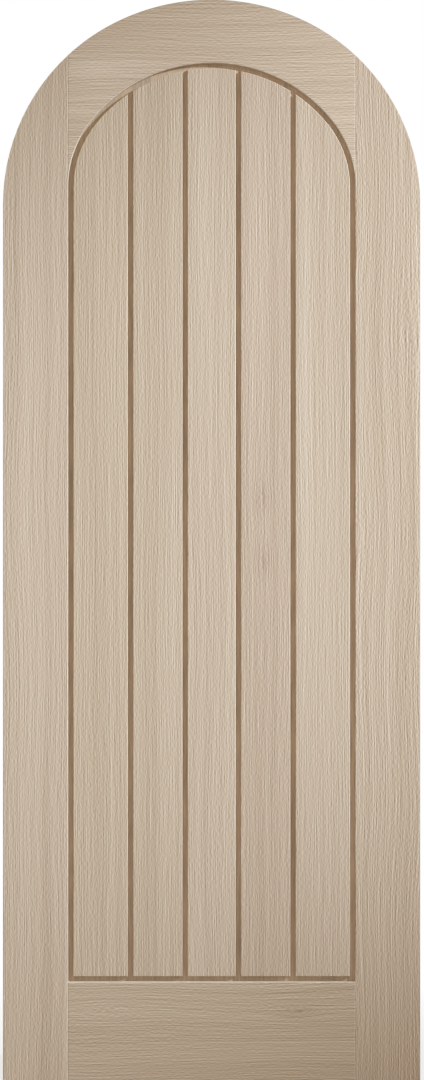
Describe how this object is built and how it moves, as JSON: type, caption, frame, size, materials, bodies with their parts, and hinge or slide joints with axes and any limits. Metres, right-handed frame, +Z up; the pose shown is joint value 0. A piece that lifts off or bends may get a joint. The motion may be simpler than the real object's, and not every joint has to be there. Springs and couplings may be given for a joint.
{
  "type": "arched door leaf",
  "caption": "Arched door leaf in pale washed oak: stile-and-rail frame with a round head, filled with flush upright boards parted by brown grooves.",
  "frame": {"origin": "middle of the leaf's foot: centre of the width and of the thickness, on the bottom edge", "axes": "+Z up the leaf, +X to the right seen from the front, +Y through the thickness to the back face"},
  "size_m": [0.762, 0.035, 1.981],
  "materials": {
    "stile_oak": "washed oak, matt",
    "rail_oak": "washed oak, matt",
    "board_oak": "washed oak, matt",
    "core_oak": "washed oak, matt",
    "dowel_beech": "plain beech"
  },
  "bodies": {
    "root": {"left_stile": "stile_oak", "right_stile": "stile_oak", "arch_rail": "rail_oak", "bottom_rail": "rail_oak", "panel_core": "core_oak", "arch_rail_dowels": "dowel_beech", "bottom_rail_dowels": "dowel_beech", "front_board_1": "board_oak", "front_board_2": "board_oak", "front_board_3": "board_oak", "front_board_4": "board_oak", "front_board_5": "board_oak", "back_board_1": "board_oak", "back_board_2": "board_oak", "back_board_3": "board_oak", "back_board_4": "board_oak", "back_board_5": "board_oak"}
  },
  "joints": []
}
